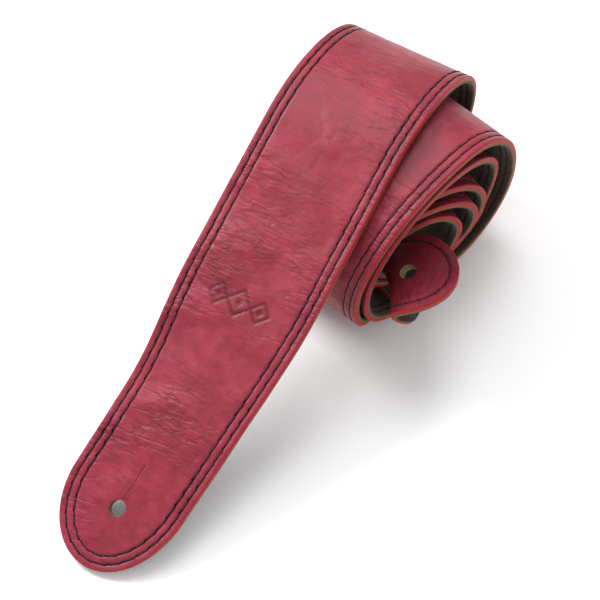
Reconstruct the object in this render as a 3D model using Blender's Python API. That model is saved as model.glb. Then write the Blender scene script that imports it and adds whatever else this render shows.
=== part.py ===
"""Two-ply leather guitar strap, lying rolled up with its front run drawn out to the button tab.

Frame: +Y runs from the front button tab towards the roll, +X to the right, +Z up. The table is z = 0, and
the origin is the middle of the object's footprint on it.
The strap follows one path: a straight ramp, then six loose turns with the red side out, each a little
smaller and turned a little more to the right. The wide strap makes the first three turns. A narrow tail is
sewn inside its end, makes the other turns and ends in a second button tab that sticks out of the roll.
The front run and the tail tab are nodes of their own, because each one bends away from the roll.
"""

import math

import bmesh
import bpy
import numpy as np

MM = 0.001
# The middle of the footprint on the table, as a point of the layout below, where the front tab's tip is zero.
ORIGIN = np.array([21.388, 142.668, 0.0])
COLLECTION = "guitar_strap"

STRAP_WIDTH = 65.0
TAIL_WIDTH = 43.0
PLY = 1.85
PLY_GAP = 0.3
FACE = (PLY_GAP / 2, PLY_GAP / 2 + PLY)
BACKING = (-PLY_GAP / 2 - PLY, -PLY_GAP / 2)
CUT_GAP = 0.4

BUTTON_HOLE = 7.8
BUTTON_HOLE_INSET = 28.7
TAIL_HOLE_INSET = 22.5
SLIT_LENGTH = 17.0
SLIT_WIDTH = 0.6
SLIT_GAP = 1.3

ROW_INSETS = {"outer": 3.2, "inner": 6.8}
TAIL_ROW_INSET = 4.2
THREAD_WIDTH = 0.9
THREAD_HEIGHT = 0.45
THREAD_SINK = 0.05
CHANNEL_DEPTH = 0.8
CHANNEL_MARGIN = 0.4

TAB_SKEW = 6.7
TAB_SKEW_LENGTH = 105.0
TAB_ROUND = 38.0
TAB_HALF = 28.1
NECK_HALF = 28.6
NECK_AT = 76.0
BODY_AT = 140.0
TAIL_ROUND = 24.6

RAMP_FOOT_Z = 1.87
RAMP_STEP = 9.0
STEPS_PER_QUARTER = 7
TAIL_STEPS_PER_QUARTER = 7
FLAT_SHARE = 0.34
MOST_SKEW = 44.0
LAP_LENGTH = 34.0
LAP_DROP = 4.35
LAP_EASE = 45.0
FRONT_BEND_BEFORE_CREST = 45.0
TAB_BEND_FROM_TIP = 33.0

# Each turn by its top: plan position, heading clockwise from +Y, how far it reaches to the bend in front of
# the top and to the bend behind it, and the heights of its top, its back bend, the bottom run behind it and
# its front bend, all to the middle of the leather.
TURNS = [
    dict(x=0.0, y=222.0, heading=0.0, front=58.0, back=60.0, top=96.4, back_z=49.0, bottom=2.0, front_z=49.0),
    dict(x=25.2, y=225.8, heading=13.4, front=70.5, back=40.4, top=89.4, back_z=42.9, bottom=6.6, front_z=40.0),
    dict(x=21.1, y=214.1, heading=11.2, front=51.0, back=43.0, top=78.8, back_z=44.8, bottom=11.0, front_z=42.8),
    dict(x=27.8, y=208.7, heading=24.4, front=39.0, back=37.2, top=71.9, back_z=42.1, bottom=20.1, front_z=38.8),
    dict(x=28.7, y=205.7, heading=28.3, front=27.1, back=32.8, top=66.6, back_z=42.9, bottom=25.0, front_z=41.1),
    dict(x=32.3, y=209.9, heading=33.2, front=25.4, back=18.9, top=60.8, back_z=40.2, bottom=30.6, front_z=39.1),
    dict(x=74.2, y=183.6, heading=69.1, front=29.0, back=0.0, top=55.4, back_z=0.0, bottom=0.0, front_z=43.0),
]


def forward(heading):
    """Horizontal unit vector of a heading, clockwise from +Y."""
    a = math.radians(heading)
    return np.array([math.sin(a), math.cos(a)])


def smooth(x):
    x = min(1.0, max(0.0, x))
    return x * x * (3 - 2 * x)


def bend(turn, side):
    """Where a turn stands upright, in front of its top or behind it."""
    reach = -turn["front"] if side == "front" else turn["back"]
    plan = np.array([turn["x"], turn["y"]]) + forward(turn["heading"]) * reach
    return np.array([*plan, turn[side + "_z"]])


def quarter(start, end, from_level, steps):
    """A quarter of an ellipse: it leaves start level and meets end upright, or the other way about."""
    points = []
    for i in range(steps + 1):
        a = math.pi / 2 * i / steps
        along, across = (math.sin(a), 1 - math.cos(a)) if from_level else (1 - math.cos(a), math.sin(a))
        plan = start[:2] + (end[:2] - start[:2]) * along
        points.append(np.array([*plan, start[2] + (end[2] - start[2]) * across]))
    return points


def ramp(turn, step):
    """The front run: straight from the tab's tip until it touches the first turn, then over its top."""
    reach, rise = turn["front"], turn["top"] - turn["front_z"]
    foot = np.array([-turn["y"] / reach, (RAMP_FOOT_Z - turn["front_z"]) / rise])
    touch = math.atan2(foot[1], foot[0]) % (2 * math.pi) - math.acos(1 / np.linalg.norm(foot))
    y_touch = turn["y"] + reach * math.cos(touch)
    z_touch = turn["front_z"] + rise * math.sin(touch)
    count = round(math.hypot(y_touch, z_touch - RAMP_FOOT_Z) / step)
    points = [
        np.array([0.0, y_touch * i / count, RAMP_FOOT_Z + (z_touch - RAMP_FOOT_Z) * i / count])
        for i in range(count)
    ]
    arcs = STEPS_PER_QUARTER - 2
    for i in range(arcs + 1):
        a = touch + (math.pi / 2 - touch) * i / arcs
        points.append(
            np.array([0.0, turn["y"] + reach * math.cos(a), turn["front_z"] + rise * math.sin(a)])
        )
    return points


def legs():
    """The path's stretches in order: points along each, and the heading that its width keeps square to."""
    stretches = [(ramp(TURNS[0], RAMP_STEP), 0.0)]
    for i, turn in enumerate(TURNS):
        top = np.array([turn["x"], turn["y"], turn["top"]])
        steps = STEPS_PER_QUARTER if i < 3 else TAIL_STEPS_PER_QUARTER
        if i:
            stretches.append((quarter(bend(turn, "front"), top, False, steps), turn["heading"]))
        if i + 1 < len(TURNS):
            back, front = bend(turn, "back"), bend(TURNS[i + 1], "front")
            run = back[:2] - front[:2]
            land, lift = (
                np.array([*(back[:2] - run * share), turn["bottom"]])
                for share in (0.5 - FLAT_SHARE / 2, 0.5 + FLAT_SHARE / 2)
            )
            travel = math.degrees(math.atan2(run[0], run[1]))
            between = (turn["heading"] + TURNS[i + 1]["heading"]) / 2
            below = min(travel + MOST_SKEW, max(travel - MOST_SKEW, between))
            stretches.append((quarter(top, back, True, steps), turn["heading"]))
            stretches.append((quarter(back, land, False, steps), below))
            stretches.append(([land, lift], below))
            stretches.append((quarter(lift, front, True, steps), below))
    return stretches


class Path:
    """The strap's middle line with, at each station, its width direction and its outward normal."""

    def __init__(self):
        points, headings = [], []
        for stretch, heading in legs():
            if points:
                headings[-1] = (headings[-1] + heading) / 2
                stretch = stretch[1:]
            points += stretch
            headings += [heading] * len(stretch)
        self.points = np.array(points)
        self.across = self.eased(np.array(headings))
        steps = np.linalg.norm(np.diff(self.points, axis=0), axis=1)
        self.s = np.concatenate([[0.0], np.cumsum(steps)])
        tangent = np.gradient(self.points, self.s, axis=0)
        normal = np.cross(self.across, tangent)
        self.normal = normal / np.linalg.norm(normal, axis=1)[:, None]
        self.length = self.s[-1]

    @staticmethod
    def eased(headings):
        """Width directions, with each change of heading spread over the stations beside it."""
        for _ in range(3):
            padded = np.concatenate([headings[:1], headings, headings[-1:]])
            headings = (padded[:-2] + 2 * headings + padded[2:]) / 4
        a = np.radians(headings)
        return np.stack([np.cos(a), -np.sin(a), 0 * a], axis=1)

    def frame(self, s):
        def at(values):
            return np.array([np.interp(s, self.s, values[:, k]) for k in range(3)])

        return at(self.points), at(self.across), at(self.normal)

    def place(self, s, w, n):
        """The point at distance s along the strap, w to its right and n out from its middle."""
        point, across, normal = self.frame(s)
        skew = -TAB_SKEW * (1 - smooth(s / TAB_SKEW_LENGTH))
        return point + across * (w + skew) + normal * n

    def crest(self, turn):
        """The distance along the path at which a turn's top lies."""
        top = np.array([turn["x"], turn["y"], turn["top"]])
        return self.s[np.linalg.norm(self.points - top, axis=1).argmin()]


PATH = Path()


def tab_end(s, half, length):
    """Half width of a rounded end, as an ellipse of that length."""
    x = min(1.0, max(0.0, 1 - s / length))
    return half * math.sqrt(1 - x * x)


def strap_half(s):
    """Half width of the wide strap: a rounded tab, a slight neck, then the full width."""
    if s < TAB_ROUND:
        return tab_end(s, TAB_HALF, TAB_ROUND)
    neck = TAB_HALF + (NECK_HALF - TAB_HALF) * smooth((s - TAB_ROUND) / (NECK_AT - TAB_ROUND))
    return neck + (STRAP_WIDTH / 2 - NECK_HALF) * smooth((s - NECK_AT) / (BODY_AT - NECK_AT))


def tail_half(s):
    return tab_end(PATH.length - s, TAIL_WIDTH / 2, TAIL_ROUND)


LAST_TOP_OF_STRAP = PATH.crest(TURNS[2])
FIRST_TOP_OF_TAIL = PATH.crest(TURNS[3])
STRAP_END = LAST_TOP_OF_STRAP + 0.62 * (FIRST_TOP_OF_TAIL - LAST_TOP_OF_STRAP)
TAIL_START = STRAP_END - LAP_LENGTH
FRONT_BEND = PATH.crest(TURNS[0]) - FRONT_BEND_BEFORE_CREST
TAB_BEND = PATH.length - TAB_BEND_FROM_TIP


def lap_drop(s):
    """How far the tail lies inside the path: one strap's thickness under the strap's end, then none."""
    return -LAP_DROP * (1 - smooth((s - STRAP_END - 2) / LAP_EASE))


def stations(start, end, round_start=0.0, round_end=0.0, extra=6):
    """Distances at which a ply is cut across: the stations, and closer ones along a rounded end."""
    inner = [s for s in PATH.s if start + 1.5 < s < end - 1.5]
    values = [start, *inner, end]
    if round_start:
        near = [start + round_start * (1 - math.cos(math.pi / 2 * i / extra)) for i in range(1, extra + 1)]
        values = [start, *near, *[s for s in values if s > near[-1] + 2.5]]
    if round_end:
        near = [end - round_end * (1 - math.cos(math.pi / 2 * i / extra)) for i in range(1, extra + 1)]
        values = [*[s for s in values if s < near[-1] - 2.5], *reversed(near), end]
    return values


def loft(bm, rings, closed=False):
    """A skin over rings of points, capped at both ends unless the rings run round.

    The top of a four-sided ring, its third side, is split the same way as the bottom below it, so that plies
    that lie on each other stay parallel where the strap twists.
    """
    made = [[bm.verts.new((np.asarray(p) - ORIGIN) * MM) for p in ring] for ring in rings]
    pairs = list(zip(made, made[1:] + made[:1] if closed else made[1:]))
    for a, b in pairs:
        for i in range(len(a)):
            j = (i + 1) % len(a)
            if i == 2:
                bm.faces.new((a[i], a[j], b[i]))
                bm.faces.new((a[j], b[j], b[i]))
            else:
                bm.faces.new((a[i], a[j], b[j]))
                bm.faces.new((a[i], b[j], b[i]))
    if not closed:
        bm.faces.new(list(reversed(made[0])))
        bm.faces.new(made[-1])


def add_object(name, rings, material, group, closed=False):
    bm = bmesh.new()
    loft(bm, rings, closed)
    bmesh.ops.recalc_face_normals(bm, faces=bm.faces)
    mesh = bpy.data.meshes.new(name)
    bm.to_mesh(mesh)
    bm.free()
    made = bpy.data.objects.new(name, mesh)
    if material:
        mesh.materials.append(material)
    group.objects.link(made)
    return made


def ply(name, cuts, half, drop, layer, material, group):
    """A flat ply of leather along the path, as wide at each cut as its outline there."""
    rings = []
    for s in cuts:
        w, d = half(s), drop(s)
        low, high = layer[0] + d, layer[1] + d
        rings.append(
            [PATH.place(s, -w, low), PATH.place(s, w, low), PATH.place(s, w, high), PATH.place(s, -w, high)]
        )
    return add_object(name, rings, material, group)


def rounded_row(inset, half, length, steps=9):
    """A row that runs round a rounded end: (distance from the tip, offset) from one side to the other."""
    points = []
    for i in range(-steps, steps + 1):
        a = math.pi / 2 * i / steps
        out = np.array([math.cos(a) / length, math.sin(a) / half])
        out /= np.linalg.norm(out)
        points.append((length * (1 - math.cos(a)) + inset * out[0], half * math.sin(a) - inset * out[1]))
    return points


def strap_row(inset, begin):
    """One row of the strap as (s, w). Up to begin it runs round the tab, after it round the sewn end."""
    far = STRAP_END - inset
    rolled = [begin] + [s for s in PATH.s if begin + 1.5 < s < far - 1.5] + [far]
    right = [(s, strap_half(s) - inset) for s in rolled]
    near = [s for s in PATH.s if TAB_ROUND + 3 < s < begin - CUT_GAP - 1.5] + [begin - CUT_GAP]
    tab_right = [(s, strap_half(s) - inset) for s in near]
    tab_left = [(s, -w) for s, w in reversed(tab_right)]
    round_tab = tab_left + rounded_row(inset, TAB_HALF, TAB_ROUND) + tab_right
    round_end = [(s, -w) for s, w in right] + list(reversed(right))
    return round_tab, round_end


def tail_row(inset, begin):
    """The tail's row as (s, w): round its sewn end up to begin, and round the tail tab after it."""
    w, near = TAIL_WIDTH / 2 - inset, TAIL_START + inset
    rolled = [near] + [s for s in PATH.s if near + 1.5 < s < begin - CUT_GAP - 1.5] + [begin - CUT_GAP]
    round_end = [(s, -w) for s in reversed(rolled)] + [(s, w) for s in rolled]
    tip = [(PATH.length - s, -v) for s, v in rounded_row(inset, TAIL_WIDTH / 2, TAIL_ROUND)]
    side = [begin] + [s for s in PATH.s if begin + 1.5 < s < tip[0][0] - 1.5]
    round_tab = [(s, w) for s in side] + tip + [(s, -w) for s in reversed(side)]
    return round_tab, round_end


def lap_row():
    """The seam that holds the tail inside the strap's end: a closed rectangle."""
    near, far, w = TAIL_START + 6.0, STRAP_END - 11.0, TAIL_WIDTH / 2 - 8.0
    side = [near] + [s for s in PATH.s if near + 1 < s < far - 1] + [far]
    return [(s, -w) for s in side] + [(s, w) for s in reversed(side)]


def section(points, drop, bottom, top, wide, narrow, closed=False):
    """Rings of a bar that follows flat points on the strap, from one height above the middle to another."""
    rings = []
    last = len(points) - 1
    for i, (s, w) in enumerate(points):
        before = points[i - 1] if i or closed else points[i]
        after = points[(i + 1) % len(points)] if i < last or closed else points[i]
        a = np.array([s - before[0], w - before[1]])
        b = np.array([after[0] - s, after[1] - w])
        a, b = (v / (np.linalg.norm(v) or 1.0) for v in (a, b))
        both = a + b
        mitre = 2 / both.dot(both) if a.any() and b.any() else 1.0
        side = np.array([-both[1], both[0]]) * mitre
        d = drop(s)
        ring = []
        for offset, n in ((-wide, bottom), (wide, bottom), (narrow, top), (-narrow, top)):
            ring.append(PATH.place(s + side[0] * offset, w + side[1] * offset, n + d))
        rings.append(ring)
    return rings


def none(_):
    return 0.0


def leather(name, colour, roughness):
    material = bpy.data.materials.new(name)
    material.use_nodes = True
    shader = next(n for n in material.node_tree.nodes if n.type == "BSDF_PRINCIPLED")
    shader.inputs["Base Color"].default_value = (*colour, 1)
    shader.inputs["Roughness"].default_value = roughness
    shader.inputs["Metallic"].default_value = 0.0
    return material


def thread(name, points, drop, material, group, closed=False):
    top = FACE[1] - THREAD_SINK
    half = THREAD_WIDTH / 2
    rings = section(points, drop, top - THREAD_HEIGHT, top, half, half * 0.5, closed)
    return add_object(name, rings, material, group, closed)


def channel(name, points, drop, half, group, closed=False):
    """The cutter for the shallow channel that a seam lies in."""
    rings = section(points, drop, FACE[1] - CHANNEL_DEPTH, FACE[1] + CHANNEL_DEPTH, half, half, closed)
    return add_object(name, rings, None, group, closed)


def hole_cutter(name, s, radius, group, sides=16):
    """A round cutter straight through the strap at distance s along its middle."""
    point, across, normal = PATH.frame(s)
    centre, along = PATH.place(s, 0, 0), np.cross(normal, across)
    rings = []
    for n in (-3 * PLY, 3 * PLY):
        turns = [2 * math.pi * (i + 0.5) / sides for i in range(sides)]
        rings.append(
            [centre + radius * (across * math.cos(a) + along * math.sin(a)) + normal * n for a in turns]
        )
    return add_object(name, rings, None, group)


def slit_cutter(name, start, end, group):
    rings = []
    for s in (start, end):
        w, n = SLIT_WIDTH / 2, PLY * 2
        rings.append([PATH.place(s, -w, -n), PATH.place(s, w, -n), PATH.place(s, w, n), PATH.place(s, -w, n)])
    return add_object(name, rings, None, group)


def cut(target, *cutters):
    for cutter in cutters:
        cutter.hide_render = True
        cutter.display_type = "WIRE"
        modifier = target.modifiers.new(cutter.name, "BOOLEAN")
        modifier.operation = "DIFFERENCE"
        modifier.solver = "EXACT"
        modifier.object = cutter


def build():
    for existing in list(bpy.data.objects):
        bpy.data.objects.remove(existing, do_unlink=True)
    parts = bpy.data.collections.new(COLLECTION)
    cutters = bpy.data.collections.new("cutters")
    for group in (parts, cutters):
        bpy.context.scene.collection.children.link(group)
    red = leather("red_grain_leather", (0.42, 0.045, 0.06), 0.42)
    suede = leather("brown_suede", (0.06, 0.035, 0.022), 0.95)
    dark = leather("dark_thread", (0.02, 0.012, 0.02), 0.6)

    bend_near, bend_far = FRONT_BEND, FRONT_BEND + CUT_GAP
    plies = {"face": (FACE, red), "backing": (BACKING, suede)}
    made = {}
    for label, (layer, material) in plies.items():
        made["front", label] = ply(
            f"strap_{label}_front_run", stations(0.3, bend_near, round_start=TAB_ROUND),
            strap_half, none, layer, material, parts,
        )
        made["roll", label] = ply(
            f"strap_{label}_rolled", stations(bend_far, STRAP_END),
            strap_half, none, layer, material, parts,
        )
        made["tail", label] = ply(
            f"tail_{label}_rolled", stations(TAIL_START, TAB_BEND - CUT_GAP),
            tail_half, lap_drop, layer, material, parts,
        )
        made["tab", label] = ply(
            f"tail_{label}_tab", stations(TAB_BEND, PATH.length - 0.3, round_end=TAIL_ROUND),
            tail_half, lap_drop, layer, material, parts,
        )

    half_band = (ROW_INSETS["inner"] - ROW_INSETS["outer"]) / 2 + THREAD_WIDTH / 2 + CHANNEL_MARGIN
    near, far = strap_row(sum(ROW_INSETS.values()) / 2, bend_far)
    band = channel("strap_channel", near + list(reversed(far)), none, half_band, cutters, closed=True)
    tab, end = tail_row(TAIL_ROW_INSET, TAB_BEND)
    tail_band = channel(
        "tail_channel", tab + end, lap_drop, THREAD_WIDTH / 2 + CHANNEL_MARGIN, cutters, closed=True
    )
    seam = channel("lap_channel", lap_row(), none, THREAD_WIDTH / 2 + CHANNEL_MARGIN, cutters, closed=True)
    hole = hole_cutter("strap_hole", BUTTON_HOLE_INSET, BUTTON_HOLE / 2, cutters)
    tail_hole = hole_cutter("tail_hole", PATH.length - TAIL_HOLE_INSET, BUTTON_HOLE / 2, cutters)
    slit_start = BUTTON_HOLE_INSET + BUTTON_HOLE / 2 + SLIT_GAP
    slit = slit_cutter("strap_slit", slit_start, slit_start + SLIT_LENGTH, cutters)

    cut(made["front", "face"], hole, slit, band)
    cut(made["front", "backing"], hole, slit)
    cut(made["roll", "face"], seam, band)
    cut(made["tail", "face"], tail_band)
    cut(made["tab", "face"], tail_band, tail_hole)
    cut(made["tab", "backing"], tail_hole)

    for label, inset in ROW_INSETS.items():
        round_tab, round_end = strap_row(inset, bend_far)
        thread(f"{label}_stitch_row_front_run", round_tab, none, dark, parts)
        thread(f"{label}_stitch_row_rolled", round_end, none, dark, parts)
    thread("tail_stitch_row_tab", tab, lap_drop, dark, parts)
    thread("tail_stitch_row_rolled", end, lap_drop, dark, parts)
    thread("tail_lap_seam", lap_row(), none, dark, parts, closed=True)


build()
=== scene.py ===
"""Look of the rolled leather guitar strap: leather, stitches, ornament, camera and light."""

import math
from collections import namedtuple

import bmesh
import bpy
import numpy as np
from mathutils import Matrix, Vector, noise


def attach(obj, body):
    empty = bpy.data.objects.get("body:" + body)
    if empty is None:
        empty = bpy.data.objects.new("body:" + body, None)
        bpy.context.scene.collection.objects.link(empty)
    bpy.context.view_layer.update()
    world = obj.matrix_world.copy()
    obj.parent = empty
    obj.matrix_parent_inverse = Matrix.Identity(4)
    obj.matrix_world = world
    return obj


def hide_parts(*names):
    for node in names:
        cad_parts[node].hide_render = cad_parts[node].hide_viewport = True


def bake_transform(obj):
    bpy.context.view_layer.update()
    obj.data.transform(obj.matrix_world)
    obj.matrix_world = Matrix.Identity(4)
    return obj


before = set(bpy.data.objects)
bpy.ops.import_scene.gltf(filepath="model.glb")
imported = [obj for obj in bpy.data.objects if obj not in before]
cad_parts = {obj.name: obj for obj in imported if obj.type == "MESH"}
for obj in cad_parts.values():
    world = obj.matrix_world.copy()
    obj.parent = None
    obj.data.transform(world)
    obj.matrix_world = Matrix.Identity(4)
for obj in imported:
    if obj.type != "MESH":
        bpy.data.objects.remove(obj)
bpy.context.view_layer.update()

MM = 0.001
# The middle of the footprint on the table, as a point of the layout below, where the front tab's tip is zero.
ORIGIN = np.array([21.388, 142.668, 0.0])

# Sizes in mm. Rows of stitches are measured from the leather's edge, and holes from its tip.
STRAP_WIDTH = 65.0
TAIL_WIDTH = 43.0
BUTTON_HOLE = 7.8
BUTTON_HOLE_INSET = 28.7
TAIL_HOLE_INSET = 22.5
SLIT_GAP = 1.3
SLIT_LENGTH = 17.0
ROW_INSETS = (3.2, 6.8)
TAIL_ROW_INSET = 4.2

# The front tab leans aside at its tip. It widens to a neck, and from there to the full width.
TAB_SKEW = 6.7
TAB_SKEW_LENGTH = 105.0
TAB_ROUND = 38.0
TAB_HALF = 28.1
NECK_HALF = 28.6
NECK_AT = 76.0
BODY_AT = 140.0
TAIL_ROUND = 24.6

# The path: where the front run starts above the table, the spacing of its stations, how much of the run under
# a turn is flat, how far a run's width may lean from square, and how the tail lies inside the strap's end.
RAMP_FOOT_Z = 1.87
RAMP_STEP = 9.0
STEPS_PER_QUARTER = 7
TAIL_STEPS_PER_QUARTER = 7
FLAT_SHARE = 0.34
MOST_SKEW = 44.0
LAP_LENGTH = 34.0
LAP_DROP = 4.35
LAP_EASE = 45.0
LAP_EASE_AFTER = 2.0
# The wide strap ends at this share of the way from the top of its last turn to the tail's first top.
STRAP_END_SHARE = 0.62
FRONT_BEND_BEFORE_CREST = 45.0
TAB_BEND_FROM_TIP = 33.0
# Where the leather is parted for the joints: past the first crest, and before the tail's tip.
LEAD_PAST_CREST = 62.0
TAIL_TAB_LENGTH = 62.0
PART_GAP = 0.03
# Distances before and behind each joint's line, at which the points LEAD_START to TAB_STOP are taken.
FRONT_SPREAD = (24, 24)
TAB_SPREAD = (12, 14)

# Heights above the leather's middle, in mm: the two plies meet at SEAM.
TOP, SEAM, UNDER = 2.0, -0.2, -2.0
SEAM_GAP = 0.05
EDGE_ROUND = 0.85
SLIT_HALF = 0.14
GROOVE = 0.46
GROOVE_HALF = 0.62

STITCH_PITCH = 6.6
TAIL_PITCH = 5.2
STITCH_GAP = 0.05
SLANT = 0.6
THREAD_RADIUS = 0.5
THREAD_SINK = 0.86
THREAD_SIDES = 7
# One stitch, by its stations: share of its length, height in mm, thickness, and how far it is spared the
# painted shade of its needle holes.
STITCH_SHARES = np.array([0.0, 0.06, 0.2, 0.5, 0.8, 0.94, 1.0])
STITCH_HEIGHTS = np.array([-0.5, -0.24, -0.06, 0.0, -0.06, -0.24, -0.5])
STITCH_SIZES = np.array([0.9, 1.05, 0.9, 0.8, 0.9, 1.05, 0.9])
STITCH_UNSHADED = [0.0, 0.0, 0.45, 1.0, 0.45, 0.0, 0.0]
# The seam that holds the tail: how far it stays inside the tail's start, the strap's end and the tail's sides.
LAP_SEAM_INSETS = (6.0, 11.0, 8.0)

# The ornament: its middle on the front run, three lozenges in a row across the strap, and its pressed lines.
ORNAMENT = (132.0, -1.0)
ORNAMENT_REACH = 9
LOZENGE_SIZES = {-1: 4.9, 0: 6.2, 1: 4.9}
LOZENGE_STEP = 10.6
LOZENGE_STRETCH = 1.05
PRESS_WIDTH = 0.85
CORE_SIZE = 1.9
CORE_EDGE = 0.8
CORE_DEPTH = 0.8
PRESS_DEPTH = 0.75

# Mesh steps: rows round a hole, how far the rows yield to a hole, and how often the lower skin keeps a column.
HOLE_ROW_STEP = 1.03
TIP_CLEAR = 0.6
HOLE_REACH = 2.6
HOLE_BLOCK_ROWS = 3
EDGE_COLUMNS = 2
UNDER_KEEP = 4
SHARP_ANGLE = 48
CREASE_SEED = 3
# Spacing of the rows along the front run, the rolled strap and the tail.
TIP_STEP, SLIT_STEP, LEAD_STEP, ORNAMENT_STEP = 1.5, 1.3, 1.5, 0.6
ROLLED_STEP, COARSE_STEP = 2.2, 3.0
TAIL_TIP_STEP, TAIL_TAB_STEP = 1.2, 1.4

# Each turn by its top: plan position, heading clockwise from +Y, how far it reaches to the bend in front of
# the top and to the bend behind it, and the heights of its top, its back bend, the bottom run behind it and
# its front bend, all to the middle of the leather.
TURNS = [
    dict(x=0.0, y=222.0, heading=0.0, front=58.0, back=60.0,
         top=96.4, back_z=49.0, bottom=2.0, front_z=49.0),
    dict(x=25.2, y=225.8, heading=13.4, front=70.5, back=40.4,
         top=89.4, back_z=42.9, bottom=6.6, front_z=40.0),
    dict(x=21.1, y=214.1, heading=11.2, front=51.0, back=43.0,
         top=78.8, back_z=44.8, bottom=11.0, front_z=42.8),
    dict(x=27.8, y=208.7, heading=24.4, front=39.0, back=37.2,
         top=71.9, back_z=42.1, bottom=20.1, front_z=38.8),
    dict(x=28.7, y=205.7, heading=28.3, front=27.1, back=32.8,
         top=66.6, back_z=42.9, bottom=25.0, front_z=41.1),
    dict(x=32.3, y=209.9, heading=33.2, front=25.4, back=18.9,
         top=60.8, back_z=40.2, bottom=30.6, front_z=39.1),
    dict(x=74.2, y=183.6, heading=69.1, front=29.0, back=0.0,
         top=55.4, back_z=0.0, bottom=0.0, front_z=43.0),
]


def forward(heading):
    """Horizontal unit vector of a heading, clockwise from +Y."""
    a = math.radians(heading)
    return np.array([math.sin(a), math.cos(a)])


def smooth(x):
    x = min(1.0, max(0.0, x))
    return x * x * (3 - 2 * x)


def bend(turn, side):
    """Where a turn stands upright, in front of its top or behind it."""
    reach = -turn["front"] if side == "front" else turn["back"]
    plan = np.array([turn["x"], turn["y"]]) + forward(turn["heading"]) * reach
    return np.array([*plan, turn[side + "_z"]])


def quarter(start, end, from_level, steps):
    """A quarter of an ellipse: it leaves start level and meets end upright, or the other way about."""
    points = []
    for i in range(steps + 1):
        a = math.pi / 2 * i / steps
        along, across = (math.sin(a), 1 - math.cos(a)) if from_level else (1 - math.cos(a), math.sin(a))
        plan = start[:2] + (end[:2] - start[:2]) * along
        points.append(np.array([*plan, start[2] + (end[2] - start[2]) * across]))
    return points


def ramp(turn, step):
    """The front run: straight from the tab's tip until it touches the first turn, then over its top."""
    reach, rise = turn["front"], turn["top"] - turn["front_z"]
    foot = np.array([-turn["y"] / reach, (RAMP_FOOT_Z - turn["front_z"]) / rise])
    touch = math.atan2(foot[1], foot[0]) % (2 * math.pi) - math.acos(1 / np.linalg.norm(foot))
    y_touch = turn["y"] + reach * math.cos(touch)
    z_touch = turn["front_z"] + rise * math.sin(touch)
    count = round(math.hypot(y_touch, z_touch - RAMP_FOOT_Z) / step)
    points = [
        np.array([0.0, y_touch * i / count, RAMP_FOOT_Z + (z_touch - RAMP_FOOT_Z) * i / count])
        for i in range(count)
    ]
    arcs = STEPS_PER_QUARTER - 2
    for i in range(arcs + 1):
        a = touch + (math.pi / 2 - touch) * i / arcs
        points.append(
            np.array([0.0, turn["y"] + reach * math.cos(a), turn["front_z"] + rise * math.sin(a)])
        )
    return points


def legs():
    """The path's stretches in order: points along each, and the heading that its width keeps square to."""
    stretches = [(ramp(TURNS[0], RAMP_STEP), 0.0)]
    for i, turn in enumerate(TURNS):
        top = np.array([turn["x"], turn["y"], turn["top"]])
        steps = STEPS_PER_QUARTER if i < 3 else TAIL_STEPS_PER_QUARTER
        if i:
            stretches.append((quarter(bend(turn, "front"), top, False, steps), turn["heading"]))
        if i + 1 < len(TURNS):
            back, front = bend(turn, "back"), bend(TURNS[i + 1], "front")
            run = back[:2] - front[:2]
            land, lift = (
                np.array([*(back[:2] - run * share), turn["bottom"]])
                for share in (0.5 - FLAT_SHARE / 2, 0.5 + FLAT_SHARE / 2)
            )
            travel = math.degrees(math.atan2(run[0], run[1]))
            between = (turn["heading"] + TURNS[i + 1]["heading"]) / 2
            below = min(travel + MOST_SKEW, max(travel - MOST_SKEW, between))
            stretches.append((quarter(top, back, True, steps), turn["heading"]))
            stretches.append((quarter(back, land, False, steps), below))
            stretches.append(([land, lift], below))
            stretches.append((quarter(lift, front, True, steps), below))
    return stretches


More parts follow.
